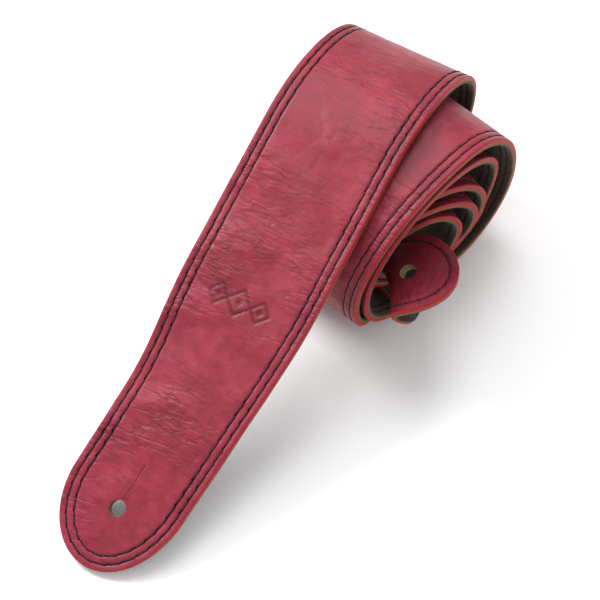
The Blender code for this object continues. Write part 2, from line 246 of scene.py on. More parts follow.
class Path:
    """The strap's middle line with, at each station, its width direction and its outward normal."""

    def __init__(self):
        points, headings = [], []
        for stretch, heading in legs():
            if points:
                headings[-1] = (headings[-1] + heading) / 2
                stretch = stretch[1:]
            points += stretch
            headings += [heading] * len(stretch)
        self.points = np.array(points)
        self.across = self.eased(np.array(headings))
        steps = np.linalg.norm(np.diff(self.points, axis=0), axis=1)
        self.s = np.concatenate([[0.0], np.cumsum(steps)])
        tangent = np.gradient(self.points, self.s, axis=0)
        normal = np.cross(self.across, tangent)
        self.normal = normal / np.linalg.norm(normal, axis=1)[:, None]
        self.length = self.s[-1]

    @staticmethod
    def eased(headings):
        """Width directions, with each change of heading spread over the stations beside it."""
        for _ in range(3):
            padded = np.concatenate([headings[:1], headings, headings[-1:]])
            headings = (padded[:-2] + 2 * headings + padded[2:]) / 4
        a = np.radians(headings)
        return np.stack([np.cos(a), -np.sin(a), 0 * a], axis=1)

    def crest(self, turn):
        """The distance along the path at which a turn's top lies."""
        top = np.array([turn["x"], turn["y"], turn["top"]])
        return self.s[np.linalg.norm(self.points - top, axis=1).argmin()]

    def curve(self, values, s):
        """Values at distances s, on a smooth curve through the stations that never passes beyond them."""
        gap = np.diff(self.s)[:, None]
        secant = np.diff(values, axis=0) / gap
        before, after = secant[:-1], secant[1:]
        near, far = 2 * gap[1:] + gap[:-1], gap[1:] + 2 * gap[:-1]
        same = before * after > 1e-12
        share = near / np.where(same, before, 1.0) + far / np.where(same, after, 1.0)
        inner = np.where(same, (near + far) / np.where(same, share, 1.0), 0.0)
        slope = np.concatenate([secant[:1], inner, secant[-1:]])
        i = np.clip(np.searchsorted(self.s, s, side="right") - 1, 0, len(self.s) - 2)
        h = (self.s[i + 1] - self.s[i])[..., None]
        t = np.clip((s - self.s[i])[..., None] / h, 0, 1)
        a, b, p, q = values[i], values[i + 1], slope[i] * h, slope[i + 1] * h
        return (
            a * (2 * t**3 - 3 * t**2 + 1)
            + p * (t**3 - 2 * t**2 + t)
            + b * (3 * t**2 - 2 * t**3)
            + q * (t**3 - t**2)
        )

    def place(self, s, w, n):
        """Points in metres, at s along the strap, w to its right and n out from its middle, in mm."""
        s, w, n = (np.asarray(v, dtype=float) for v in np.broadcast_arrays(s, w, n))
        u = np.clip(s / TAB_SKEW_LENGTH, 0, 1)
        skew = -TAB_SKEW * (1 - u * u * (3 - 2 * u))
        normal = self.curve(self.normal, s)
        normal /= np.linalg.norm(normal, axis=-1)[..., None]
        base = self.curve(self.points, s)
        aside = self.curve(self.across, s) * (w + skew)[..., None]
        return (base + aside + normal * n[..., None] - ORIGIN) * MM


PATH = Path()


def tab_end(s, half, length):
    """Half width of a rounded end, as an ellipse of that length."""
    x = min(1.0, max(0.0, 1 - s / length))
    return half * math.sqrt(1 - x * x)


def strap_half(s):
    """Half width of the wide strap: a rounded tab, a slight neck, then the full width."""
    if s < TAB_ROUND:
        return tab_end(s, TAB_HALF, TAB_ROUND)
    neck = TAB_HALF + (NECK_HALF - TAB_HALF) * smooth((s - TAB_ROUND) / (NECK_AT - TAB_ROUND))
    return neck + (STRAP_WIDTH / 2 - NECK_HALF) * smooth((s - NECK_AT) / (BODY_AT - NECK_AT))


def tail_half(s):
    """Half width of the tail, by distance from its tip."""
    return tab_end(s, TAIL_WIDTH / 2, TAIL_ROUND)


LAST_TOP_OF_STRAP = PATH.crest(TURNS[2])
FIRST_TOP_OF_TAIL = PATH.crest(TURNS[3])
STRAP_END = LAST_TOP_OF_STRAP + STRAP_END_SHARE * (FIRST_TOP_OF_TAIL - LAST_TOP_OF_STRAP)
TAIL_START = STRAP_END - LAP_LENGTH
TAIL_LENGTH = PATH.length - TAIL_START
FRONT_BEND = PATH.crest(TURNS[0]) - FRONT_BEND_BEFORE_CREST
TAB_BEND = PATH.length - TAB_BEND_FROM_TIP
LEAD_END = PATH.crest(TURNS[0]) + LEAD_PAST_CREST


def lap_drop(s):
    """How far the tail lies inside the path: one strap's thickness under the strap's end, then none."""
    u = np.clip((np.asarray(s, dtype=float) - STRAP_END - LAP_EASE_AFTER) / LAP_EASE, 0, 1)
    return -LAP_DROP * (1 - u * u * (3 - 2 * u))


# ---------------------------------------------------------------- outlines


class Outline:
    """One band of leather laid flat: its right edge from a rounded tip onwards, with the way inwards."""

    def __init__(self, half, tip_half, tip_length, place):
        self.half, self.tip_half, self.tip_length, self.place = half, tip_half, tip_length, place

    def tip(self, angles):
        """Edge points and inward directions round the tip, by angle from 0 at the tip to 90 degrees."""
        out = np.stack([np.cos(angles) / self.tip_length, -np.sin(angles) / self.tip_half], axis=1)
        out /= np.linalg.norm(out, axis=1)[:, None]
        edge = np.stack(
            [self.tip_length * (1 - np.cos(angles)), self.tip_half * np.sin(angles)], axis=1
        )
        return edge, out

    def side(self, s):
        """Edge points and inward directions past the tip, at distances s from it."""
        h = np.array([self.half(v) for v in s])
        beyond = np.maximum(s, self.tip_length + 0.5)
        slope = np.array([self.half(v + 0.5) - self.half(v - 0.5) for v in beyond])
        out = np.stack([slope, -np.ones_like(slope)], axis=1)
        out /= np.linalg.norm(out, axis=1)[:, None]
        return np.stack([s, h], axis=1), out


def tail_place(s, w, n):
    """Points on the tail, which is measured from its tip, so its distances run the other way."""
    along = PATH.length - np.asarray(s, dtype=float)
    return PATH.place(along, -np.asarray(w, dtype=float), n + lap_drop(along))


STRAP = Outline(strap_half, TAB_HALF, TAB_ROUND, PATH.place)
TAIL = Outline(tail_half, TAIL_WIDTH / 2, TAIL_ROUND, tail_place)


# ---------------------------------------------------------------- leather bodies

# Distances from the edge of the columns that follow it: close together at the rounded edge and at each row of
# stitches.
BAND = (
    0.0, 0.12, 0.35, 0.7, 1.2, 1.9, 2.5, 2.85, 3.2, 3.55, 3.9, 4.5,
    5.5, 6.1, 6.45, 6.8, 7.15, 7.5, 8.1, 9.0,
)
TAIL_BAND = (0.0, 0.12, 0.35, 0.7, 1.2, 2.0, 2.9, 3.5, 3.85, 4.2, 4.55, 4.9, 5.5, 6.5)
PLAIN_BAND = (0.0, 0.15, 0.5, 1.2, 2.6, 3.2, 3.8, 6.2, 6.8, 7.4, 9.0)

# A ply: its lower and upper height, whether its fine skin faces out of the roll, and the material slots of that
# skin, the rounded edge, the plainer skin, the outer wall and the wall of a hole.
Ply = namedtuple("Ply", "low high outward slots")
FACE = Ply(SEAM + SEAM_GAP / 2, TOP, True, (0, 1, 2, 1, 2))
BACKING = Ply(UNDER, SEAM - SEAM_GAP / 2, False, (1, 1, 0, 1, 1))


def row_grid(outline, rows, band, columns):
    """Flat points (row, column, (s, w)) and each column's distance from the edge.

    rows is a list of ("tip", angle) and ("side", s), tips first. Each row crosses the leather from its left
    edge to its right edge: a band of columns along each edge, and columns between, with a thin middle one for
    the slit.
    """
    angles = np.array([v for kind, v in rows if kind == "tip"])
    sides = np.array([v for kind, v in rows if kind == "side"])
    parts = [outline.tip(angles)] if len(angles) else []
    parts += [outline.side(sides)] if len(sides) else []
    edge, inward = (np.concatenate([part[k] for part in parts]) for k in (0, 1))
    band = np.array(band)
    right_band = edge[:, None, :] + inward[:, None, :] * band[None, :, None]
    inner = right_band[:, -1, :]
    v = np.arange(columns - 1, -1, -1) / columns
    inner_half = inner[:, 1][:, None]
    slit = np.minimum(SLIT_HALF, inner_half * 0.5)
    w = slit + (inner_half - slit) * v[None, :]
    right_inner = np.stack([np.broadcast_to(inner[:, 0][:, None], w.shape), w], axis=2)
    right = np.concatenate([right_band, right_inner], axis=1)
    left = right.copy()
    left[:, :, 1] *= -1
    grid = np.concatenate([left, right[:, ::-1, :]], axis=1)
    inset = np.concatenate([band, np.full(columns, band[-1])])
    return grid, np.concatenate([inset, inset[::-1]])


def open_hole(grid, centre, radius, block_columns):
    """Push the grid away from a block of its quads, so that the block's edge becomes a circle."""
    middle = grid.shape[1] // 2
    nearest = int(np.abs(grid[:, middle, 0] - centre).argmin())
    lo, hi = nearest - HOLE_BLOCK_ROWS, nearest + HOLE_BLOCK_ROWS
    half_s = (grid[hi, middle, 0] - grid[lo, middle, 0]) / 2
    centre_s = (grid[hi, middle, 0] + grid[lo, middle, 0]) / 2
    half_w = np.maximum(np.abs(grid[:, middle + block_columns, 1]), 0.05)[:, None]
    from_centre = grid - np.array([centre_s, 0.0])
    blocks = np.maximum(np.abs(from_centre[:, :, 0]) / half_s, np.abs(from_centre[:, :, 1]) / half_w)
    t = np.clip((blocks - 1) / (HOLE_REACH - 1), 0, 1)
    length = np.maximum(np.linalg.norm(from_centre, axis=2), 1e-6)
    ring = from_centre / length[:, :, None] * radius
    moved = np.array([centre, 0.0]) + ring * (1 - t)[:, :, None] + from_centre * t[:, :, None]
    keep = (blocks > HOLE_REACH)[:, :, None]
    shift = (centre_s - centre) * np.array([1.0, 0.0]) * t[:, :, None]
    shifted = np.where(keep, grid, moved + shift)
    gone = np.zeros((grid.shape[0] - 1, grid.shape[1] - 1), dtype=bool)
    gone[lo:hi, middle - 1 - block_columns:middle + block_columns] = True
    return shifted, gone


def linked(name, data):
    """A new object in the scene."""
    made = bpy.data.objects.new(name, data)
    bpy.context.scene.collection.objects.link(made)
    return made


def body_mesh(name, outline, grid, gone, top, bottom, keep_columns, closed_start, slots, pressed):
    """A closed body: an upper skin, a lower skin, walls round every opening, and end caps.

    top and bottom are heights for each grid point, and pressed is how far the ornament is pressed in there.
    keep_columns are the columns that the lower skin keeps. A closed start is a tip, which needs no cap.
    """
    rows, cols = grid.shape[:2]
    upper = outline.place(grid[:, :, 0], grid[:, :, 1], top).reshape(-1, 3)
    keep = np.array(keep_columns)
    lower_grid = grid[:, keep, :]
    lower = outline.place(lower_grid[:, :, 0], lower_grid[:, :, 1], bottom[:, keep]).reshape(-1, 3)
    verts = np.concatenate([upper, lower])
    flat = np.concatenate([grid.reshape(-1, 2), lower_grid.reshape(-1, 2)])
    base = rows * cols
    position = {int(c): k for k, c in enumerate(keep)}
    faces, face_slots = [], []

    def up(i, j):
        return i * cols + j

    def down(i, j):
        return base + i * len(keep) + position[j]

    def add(face, slot):
        faces.append(face)
        face_slots.append(slot)

    skin, rim, under, wall, hole_wall = slots
    for i in range(rows - 1):
        for j in range(cols - 1):
            if gone[i, j]:
                continue
            at_edge = j < EDGE_COLUMNS or j >= cols - 1 - EDGE_COLUMNS
            add((up(i, j), up(i, j + 1), up(i + 1, j + 1), up(i + 1, j)), rim if at_edge else skin)
        for a, b in zip(keep[:-1], keep[1:]):
            if gone[i, a:b].all():
                continue
            add((down(i, b), down(i, a), down(i + 1, a), down(i + 1, b)), under)
        for j in (0, cols - 1):
            add((up(i, j), up(i + 1, j), down(i + 1, j), down(i, j)), wall)
    for i in range(rows):
        for j in range(1, cols - 1):
            if i < rows - 1 and gone[i, j - 1] != gone[i, j] and j in position:
                add((up(i, j), up(i + 1, j), down(i + 1, j), down(i, j)), hole_wall)
            kept_pair = j in position and j + 1 in position
            if 0 < i < rows - 1 and gone[i - 1, j] != gone[i, j] and kept_pair:
                add((up(i, j), up(i, j + 1), down(i, j + 1), down(i, j)), hole_wall)
    for i in [rows - 1] if closed_start else [rows - 1, 0]:
        add(tuple(up(i, j) for j in range(cols)) + tuple(down(i, j) for j in keep[::-1]), wall)
    mesh = bpy.data.meshes.new(name)
    mesh.from_pydata([tuple(v) for v in verts], [], faces)
    mesh.polygons.foreach_set("material_index", face_slots)
    stored = mesh.attributes.new("flat", "FLOAT_VECTOR", "POINT")
    stored.data.foreach_set("vector", np.column_stack([flat * MM, np.zeros(len(flat))]).ravel())
    # How far the ornament is pressed in; the red leather's shader paints shade into the pressed places with it.
    dark = mesh.attributes.new("pressed", "FLOAT", "POINT")
    dark.data.foreach_set("value", np.concatenate([pressed.ravel(), np.zeros(len(lower))]))
    bm = bmesh.new()
    bm.from_mesh(mesh)
    bmesh.ops.remove_doubles(bm, verts=bm.verts, dist=2e-6)
    bmesh.ops.dissolve_degenerate(bm, edges=bm.edges, dist=1e-7)
    bmesh.ops.recalc_face_normals(bm, faces=bm.faces)
    for face in bm.faces:
        face.smooth = len(face.verts) <= 4
    for edge in bm.edges:
        if len(edge.link_faces) == 2:
            a, b = edge.link_faces
            flat_end = len(a.verts) > 4 or len(b.verts) > 4
            edge.smooth = not flat_end and edge.calc_face_angle(0.0) < math.radians(SHARP_ANGLE)
    bm.to_mesh(mesh)
    bm.free()
    return linked(name, mesh)


def rows_between(start, end, step):
    """Distances from start to end, evenly spaced and about a step apart."""
    count = max(1, round((end - start) / step))
    return [start + (end - start) * i / count for i in range(count + 1)]


def tip_rows(outline, band, until, step):
    """Rows round a tip, up to the one whose inner end lies at distance until, and the row at any distance."""
    dense = np.linspace(0, math.pi / 2, 2000)
    edge, inward = outline.tip(dense)
    inner_s = edge[:, 0] + inward[:, 0] * band[-1]
    stop = float(np.interp(until, inner_s, dense))
    count = max(4, round(stop * outline.tip_length / step))
    rows = [("tip", stop * i / count) for i in range(count + 1)]
    return rows, lambda s: ("tip", float(np.interp(s, inner_s, dense)))


def fbm(points, scale, seed, octaves):
    """Smooth noise at flat points, about -1 to 1."""
    offset = Vector((seed * 7.31, seed * 3.17, seed * 1.93))
    values = [
        noise.fractal(Vector((p[0] / scale, p[1] / scale, 0.0)) + offset, 1.0, 2.0, octaves)
        for p in points
    ]
    return np.array(values)


def skin_height(from_edge, row_insets, level, sign, dents):
    """Heights of a skin: rounded over at its edge, with a groove under each row of stitches, and dents."""
    fall = EDGE_ROUND - np.sqrt(np.maximum(EDGE_ROUND**2 - (EDGE_ROUND - from_edge) ** 2, 0))
    depth = np.where(from_edge < EDGE_ROUND, fall, 0.0)
    for row in row_insets:
        depth += GROOVE * np.exp(-(((from_edge - row) / GROOVE_HALF) ** 2))
    return level - sign * (depth + dents)


def creases(grid, amount):
    """Shallow wrinkles of soft leather, 0 or deeper, in mm: broad dents, and fold lines in patches."""
    flat = grid.reshape(-1, 2)
    broad = fbm(flat * np.array([1.0, 0.8]), 17.0, CREASE_SEED, 3)
    ridged = 1 - np.abs(fbm(flat, 11.0, CREASE_SEED + 5, 2)) * 3.2
    lines = np.clip(ridged, 0, 1) ** 2
    patches = np.clip(0.35 + 1.1 * fbm(flat, 38.0, CREASE_SEED + 9, 2), 0, 1)
    depth = amount * (0.34 + 0.5 * broad + 0.3 * lines * patches)
    return depth.clip(0, None).reshape(grid.shape[:2])


def emboss(grid, centre):
    """A generic pressed ornament: three plain lozenges, each with a pressed middle."""
    s, w = grid[:, :, 0] - centre[0], grid[:, :, 1] - centre[1]
    pressed = np.zeros(s.shape)
    for k, size in LOZENGE_SIZES.items():
        r = np.abs(s) + np.abs(w - k * LOZENGE_STEP) * LOZENGE_STRETCH
        ring = np.exp(-(((r - size) / PRESS_WIDTH) ** 2))
        core = np.clip((CORE_SIZE - r) / CORE_EDGE + 0.5, 0, 1)
        pressed = np.maximum(pressed, np.maximum(ring, core * CORE_DEPTH))
    return pressed


def build_ply(name, ply, outline, rows, band, columns, row_insets, hole=None, slit=None, wrinkles=0.0,
              ornament=None, closed_start=True):
    """One ply of leather, from its rows and columns.

    hole is a hole's distance from the tip and half the width of the block of columns that opens for it, and
    slit is where a slit starts and ends.
    """
    grid, inset = row_grid(outline, rows, band, columns)
    gone = np.zeros((grid.shape[0] - 1, grid.shape[1] - 1), dtype=bool)
    count = grid.shape[1]
    middle = count // 2
    if slit:
        mids = (grid[:-1, middle, 0] + grid[1:, middle, 0]) / 2
        gone[(mids > slit[0]) & (mids < slit[1]), middle - 1] = True
    block = 0
    if hole:
        centre, block = hole
        grid, hole_gone = open_hole(grid, centre, BUTTON_HOLE / 2, block)
        gone |= hole_gone
    from_edge = np.broadcast_to(inset[None, :], grid.shape[:2])
    dents = pressed = np.zeros(grid.shape[:2])
    if wrinkles:
        dents = creases(grid, wrinkles) * np.clip((from_edge - 0.5) / 3, 0, 1)
    if ornament:
        pressed = emboss(grid, ornament)
        dents = pressed * PRESS_DEPTH + dents * (1 - pressed)
    if ply.outward:
        top = skin_height(from_edge, row_insets, ply.high, 1.0, dents)
        bottom = np.full(grid.shape[:2], ply.low)
        around = set(range(middle - 1 - block, middle + block + 1)) | {middle - 1, middle}
        kept = sorted({0, count - 1} | around | set(range(0, count, UNDER_KEEP)))
    else:
        top = np.full(grid.shape[:2], ply.high)
        bottom = skin_height(from_edge, row_insets, ply.low, -1.0, dents)
        kept = list(range(count))
    return body_mesh(name, outline, grid, gone, top, bottom, kept, closed_start, ply.slots, pressed)


def side_rows(distances):
    """Rows past the tip, at distances from it."""
    return [("side", v) for v in distances]


def rows_round_hole(inset, reach):
    """Distances of the rows round a hole: evenly spaced, so that the hole opens evenly."""
    return [inset + k * HOLE_ROW_STEP for k in range(-reach, reach + 1)]


def strap_rows_lead():
    """Rows of the front run: round its tip and its hole, along its slit, closer at the ornament, to its end."""
    rows, at = tip_rows(STRAP, BAND, BUTTON_HOLE_INSET - 8 * HOLE_ROW_STEP, TIP_STEP)
    slit_start = BUTTON_HOLE_INSET + BUTTON_HOLE / 2 + SLIT_GAP
    slit_end = slit_start + SLIT_LENGTH
    ornament_start, ornament_end = ORNAMENT[0] - ORNAMENT_REACH, ORNAMENT[0] + ORNAMENT_REACH
    limit = STRAP.tip_length
    wanted = rows_round_hole(BUTTON_HOLE_INSET, 7)
    rows += [at(v) for v in wanted if v < limit - TIP_CLEAR]
    rows += side_rows(v for v in wanted if v > limit)
    rows += side_rows(rows_between(max(limit, wanted[-1]) + 1.0, slit_end, SLIT_STEP))
    rows += side_rows(rows_between(slit_end, ornament_start, LEAD_STEP)[1:])
    rows += side_rows(rows_between(ornament_start, ornament_end, ORNAMENT_STEP)[1:])
    rows += side_rows(rows_between(ornament_end, LEAD_END, LEAD_STEP)[1:])
    return rows, (slit_start, slit_end)


# ---------------------------------------------------------------- materials


def new_material(name):
    """A material with a Principled shader, its node tree and that shader."""
    material = bpy.data.materials.new(name)
    material.use_nodes = True
    tree = material.node_tree
    tree.nodes.clear()
    out = tree.nodes.new("ShaderNodeOutputMaterial")
    shader = tree.nodes.new("ShaderNodeBsdfPrincipled")
    tree.links.new(shader.outputs[0], out.inputs[0])
    return material, tree, shader


def flat_coordinates(tree, scale):
    """The leather's own flat coordinates, stretched by scale, so the grain follows each bend."""
    mapping = tree.nodes.new("ShaderNodeMapping")
    mapping.inputs["Scale"].default_value = scale
    tree.links.new(attribute_node(tree, "flat", "Vector"), mapping.inputs["Vector"])
    return mapping.outputs[0]


def noise_node(tree, vector, scale, detail, rough):
    node = tree.nodes.new("ShaderNodeTexNoise")
    node.inputs["Scale"].default_value = scale
    node.inputs["Detail"].default_value = detail
    node.inputs["Roughness"].default_value = rough
    tree.links.new(vector, node.inputs["Vector"])
    return node.outputs["Fac"]


def ramp_node(tree, value, stops):
    """A colour ramp through stops, each a position and a colour."""
    node = tree.nodes.new("ShaderNodeValToRGB")
    while len(node.color_ramp.elements) < len(stops):
        node.color_ramp.elements.new(0.5)
    for element, (position, colour) in zip(node.color_ramp.elements, stops):
        element.position = position
        element.color = (*colour, 1)
    tree.links.new(value, node.inputs[0])
    return node.outputs[0]


def mask_node(tree, value, low, high):
    """0 up to low, 1 from high on."""
    return ramp_node(tree, value, [(low, (0, 0, 0)), (high, (1, 1, 1))])


def attribute_node(tree, name, output):
    node = tree.nodes.new("ShaderNodeAttribute")
    node.attribute_name = name
    return node.outputs[output]


def mix_colour(tree, factor, a, b, blend="MIX"):
    node = tree.nodes.new("ShaderNodeMix")
    node.data_type = "RGBA"
    node.blend_type = blend
    for socket, value in ((node.inputs[0], factor), (node.inputs[6], a), (node.inputs[7], b)):
        if isinstance(value, bpy.types.NodeSocket):
            tree.links.new(value, socket)
        elif isinstance(value, tuple):
            socket.default_value = (*value, 1)
        else:
            socket.default_value = value
    return node.outputs[2]


def math_node(tree, operation, *values):
    node = tree.nodes.new("ShaderNodeMath")
    node.operation = operation
    for socket, value in zip(node.inputs, values):
        if isinstance(value, bpy.types.NodeSocket):
            tree.links.new(value, socket)
        else:
            socket.default_value = value
    return node.outputs[0]


def bump_node(tree, height, distance, strength, normal=None):
    node = tree.nodes.new("ShaderNodeBump")
    node.inputs["Distance"].default_value = distance
    node.inputs["Strength"].default_value = strength
    tree.links.new(height, node.inputs["Height"])
    if normal:
        tree.links.new(normal, node.inputs["Normal"])
    return node.outputs[0]


# Reds of the smooth leather from its darkest patches to its lightest; then the painted shade that darkens its
# fold lines and its pressed ornament, and how much of it each gets.
REDS = ((0.195, 0.0135, 0.0275), (0.240, 0.0195, 0.0365), (0.280, 0.0255, 0.0465))
CREASE_SHADE_COLOUR, CREASE_SHADE_AMOUNT = (0.09, 0.005, 0.011), 0.35
PRESSED_SHADE_COLOUR, PRESSED_SHADE_AMOUNT = (0.07, 0.004, 0.009), 0.85
# Creases run across the strap: the stretch of their noise, then the scale and width of each kind of fold line.
CREASE_STRETCH = (1.7, 0.55, 1)
FOLD_LINES = ((26, 0.026), (60, 0.036))
PEBBLE_SCALE = 820


def fold_lines(tree, across):
    """Thin lines where a stretched noise passes its middle."""
    lines = []
    for scale, width in FOLD_LINES:
        crease = noise_node(tree, across, scale, 3.2, 0.52)
        off_middle = math_node(tree, "ABSOLUTE", math_node(tree, "SUBTRACT", crease, 0.5))
        lines.append(math_node(tree, "SUBTRACT", 1.0, mask_node(tree, off_middle, 0.0, width)))
    return math_node(tree, "MAXIMUM", *lines)


def pebbles(tree, even):
    """The fine cells of the leather's grain."""
    cells = tree.nodes.new("ShaderNodeTexVoronoi")
    cells.feature = "DISTANCE_TO_EDGE"
    cells.inputs["Scale"].default_value = PEBBLE_SCALE
    tree.links.new(even, cells.inputs["Vector"])
    return mask_node(tree, cells.outputs["Distance"], 0.0, 0.22)


def red_leather(name, shade, gloss):
    """Smooth red leather with creases, with painted shade in its fold lines and pressed ornament. shade scales
    its colour; below 1 it is a copy darkened by painted shade.
    """
    material, tree, shader = new_material(name)
    even = flat_coordinates(tree, (1, 1, 1))
    across = flat_coordinates(tree, CREASE_STRETCH)
    broad = noise_node(tree, even, 34, 3, 0.5)
    mottle = noise_node(tree, even, 190, 5, 0.65)
    fine = noise_node(tree, even, 420, 5, 0.6)
    soft = noise_node(tree, across, 42, 4, 0.55)
    patches = mask_node(tree, noise_node(tree, even, 22, 2, 0.5), 0.42, 0.62)
    lines = math_node(tree, "MULTIPLY", fold_lines(tree, across), patches)
    pressed = attribute_node(tree, "pressed", "Fac")

    reds = [tuple(v * shade for v in red) for red in REDS]
    colour = ramp_node(tree, broad, list(zip((0.3, 0.52, 0.72), reds)))
    spots = ramp_node(tree, mottle, [(0.36, (0.82, 0.80, 0.80)), (0.62, (1.06, 1.06, 1.06))])
    colour = mix_colour(tree, 1.0, colour, spots, "MULTIPLY")
    # Painted shade: the fold lines are darkened as shade in creases would darken them.
    colour = mix_colour(tree, math_node(tree, "MULTIPLY", lines, CREASE_SHADE_AMOUNT), colour, CREASE_SHADE_COLOUR)
    # Painted shade: the ornament's pressed lines and middles are darkened as if shaded in their grooves.
    colour = mix_colour(tree, math_node(tree, "MULTIPLY", pressed, PRESSED_SHADE_AMOUNT), colour, PRESSED_SHADE_COLOUR)
    tree.links.new(colour, shader.inputs["Base Color"])
    rough = math_node(tree, "MULTIPLY_ADD", mottle, 0.20, 0.36)
    tree.links.new(rough, shader.inputs["Roughness"])
    shader.inputs["Specular IOR Level"].default_value = gloss

    # Relief from the broad dents to the finest grain: its height in metres, then its strength.
    bump = bump_node(tree, math_node(tree, "MULTIPLY", soft, patches), 0.0042, 0.6)
    bump = bump_node(tree, math_node(tree, "SUBTRACT", 1.0, lines), 0.0004, 0.6, bump)
    bump = bump_node(tree, pebbles(tree, even), 0.00004, 0.35, bump)
    bump = bump_node(tree, fine, 0.00022, 0.4, bump)
    tree.links.new(bump, shader.inputs["Normal"])
    return material


def plain_leather(name, colours, scale, roughness, height, sheen=0.0):
    """Suede, a painted edge or a cut edge: mottled colour with a nap or fibres.

    colours are the fibres' dark and light ones, and the one of the broad patches.
    """
    material, tree, shader = new_material(name)
    even = flat_coordinates(tree, (1, 1, 1))
    coordinates = tree.nodes.new("ShaderNodeTexCoord").outputs["Object"]
    fibres = noise_node(tree, coordinates, scale, 6, 0.7)
    broad = noise_node(tree, even, 60, 3, 0.5)
    dark, light, patch = colours
    colour = ramp_node(tree, fibres, [(0.3, dark), (0.7, light)])
    colour = mix_colour(tree, math_node(tree, "MULTIPLY", broad, 0.5), colour, patch)
    tree.links.new(colour, shader.inputs["Base Color"])
    shader.inputs["Roughness"].default_value = roughness
    shader.inputs["Specular IOR Level"].default_value = 0.2
    shader.inputs["Sheen Weight"].default_value = sheen
    shader.inputs["Sheen Roughness"].default_value = 0.5
    tree.links.new(bump_node(tree, fibres, height, 0.7), shader.inputs["Normal"])
    return material


def thread_material():
    """Dark waxed thread, with painted shade near black where a stitch goes down into the leather."""
    material, tree, shader = new_material("dark_thread_look")
    coordinates = tree.nodes.new("ShaderNodeTexCoord").outputs["Object"]
    fine = noise_node(tree, coordinates, 2600, 3, 0.6)
    unshaded = attribute_node(tree, "unshaded", "Fac")
    colour = ramp_node(tree, fine, [(0.3, (0.022, 0.008, 0.012)), (0.75, (0.055, 0.022, 0.032))])
    # Painted shade of the needle holes: near black at each stitch's ends.
    colour = mix_colour(tree, unshaded, (0.0015, 0.0005, 0.001), colour)
    tree.links.new(colour, shader.inputs["Base Color"])
    shader.inputs["Roughness"].default_value = 0.6
    shader.inputs["Specular IOR Level"].default_value = 0.15
    tree.links.new(bump_node(tree, fine, 0.00012, 0.7), shader.inputs["Normal"])
    return material


RED = red_leather("red_grain_leather_look", 1.0, 0.28)
# The tail's copy of the red leather is darkened by painted shade, standing for the roll's shadow on the tail,
# and is less glossy.
TAIL_RED_SHADED = red_leather("tail_red_leather_painted_shade_look", 0.66, 0.1)
EDGE_PAINT = plain_leather(
    "red_painted_edge_look",
    [(0.25, 0.009, 0.012), (0.42, 0.018, 0.020), (0.34, 0.013, 0.015)],
    scale=700, roughness=0.5, height=0.00008,
)
CUT_EDGE = plain_leather(
    "cut_leather_edge_look",
    [(0.11, 0.070, 0.034), (0.25, 0.165, 0.080), (0.16, 0.103, 0.049)],
    scale=1500, roughness=0.85, height=0.0002,
)
SUEDE = plain_leather(
    "brown_suede_look",
    [(0.030, 0.020, 0.011), (0.075, 0.052, 0.030), (0.045, 0.030, 0.018)],
    scale=1300, roughness=0.95, height=0.00025, sheen=0.15,
)
THREAD = thread_material()


def dress(obj, materials):
    for material in materials:
        obj.data.materials.append(material)


# ---------------------------------------------------------------- the plies

LEAD_ROWS, SLIT = strap_rows_lead()
# Each hole: its distance from the tip, and half the width of the block of columns that opens for it.
HOLE, TAIL_HOLE = (BUTTON_HOLE_INSET, 5), (TAIL_HOLE_INSET, 3)
TAIL_ROW_INSETS = (TAIL_ROW_INSET,)
# The rows of the rolled strap are further apart from here on, and close together again at its sewn end.
COARSE_FROM, END_ROWS_FROM = 640.0, 9.0
END_ROWS = (7.5, 6.8, 6.1, 4.5, 3.9, 3.2, 2.5, 1.2, 0.5, 0.12, 0.0)


def strap_rows_rolled():
    """Rows of the rolled strap, from the joint to its square end."""
    rows = rows_between(LEAD_END + PART_GAP, COARSE_FROM, ROLLED_STEP)
    rows += rows_between(COARSE_FROM, STRAP_END - END_ROWS_FROM, COARSE_STEP)[1:]
    return side_rows(rows + [STRAP_END - d for d in END_ROWS])


def tail_rows_tab():
    """Rows of the tail's tab, round its tip and its hole and on to the joint."""
    rows, at = tip_rows(TAIL, TAIL_BAND, TAIL_HOLE_INSET - 7 * HOLE_ROW_STEP, TAIL_TIP_STEP)
    wanted = rows_round_hole(TAIL_HOLE_INSET, 6)
    rows += [at(v) for v in wanted if v < TAIL_ROUND]
    rows += side_rows(v for v in wanted if v > TAIL_ROUND)
    return rows + side_rows(rows_between(wanted[-1] + 1.2, TAIL_TAB_LENGTH, TAIL_TAB_STEP))


TAIL_ROWS_TAB = tail_rows_tab()
TAIL_ROWS_ROLLED = side_rows(rows_between(TAIL_TAB_LENGTH + PART_GAP, TAIL_LENGTH, ROLLED_STEP))
STRAP_ROWS_ROLLED = strap_rows_rolled()

pieces = {}
pieces["strap_face_lead"] = build_ply(
    "strap_face_lead", FACE, STRAP, LEAD_ROWS, BAND, 32, ROW_INSETS, HOLE, SLIT, wrinkles=0.5, ornament=ORNAMENT
)
pieces["strap_backing_lead"] = build_ply(
    "strap_backing_lead", BACKING, STRAP, LEAD_ROWS, BAND, 32, ROW_INSETS, HOLE, SLIT
)
pieces["strap_face_roll"] = build_ply(
    "strap_face_roll", FACE, STRAP, STRAP_ROWS_ROLLED, BAND, 10, ROW_INSETS, wrinkles=0.12, closed_start=False
)
pieces["strap_backing_roll"] = build_ply(
    "strap_backing_roll", BACKING, STRAP, STRAP_ROWS_ROLLED, PLAIN_BAND, 6, ROW_INSETS, closed_start=False
)
pieces["tail_face_end"] = build_ply(
    "tail_face_end", FACE, TAIL, TAIL_ROWS_TAB, TAIL_BAND, 14, TAIL_ROW_INSETS, TAIL_HOLE, wrinkles=0.2
)
pieces["tail_backing_end"] = build_ply(
    "tail_backing_end", BACKING, TAIL, TAIL_ROWS_TAB, TAIL_BAND, 14, TAIL_ROW_INSETS, TAIL_HOLE
)
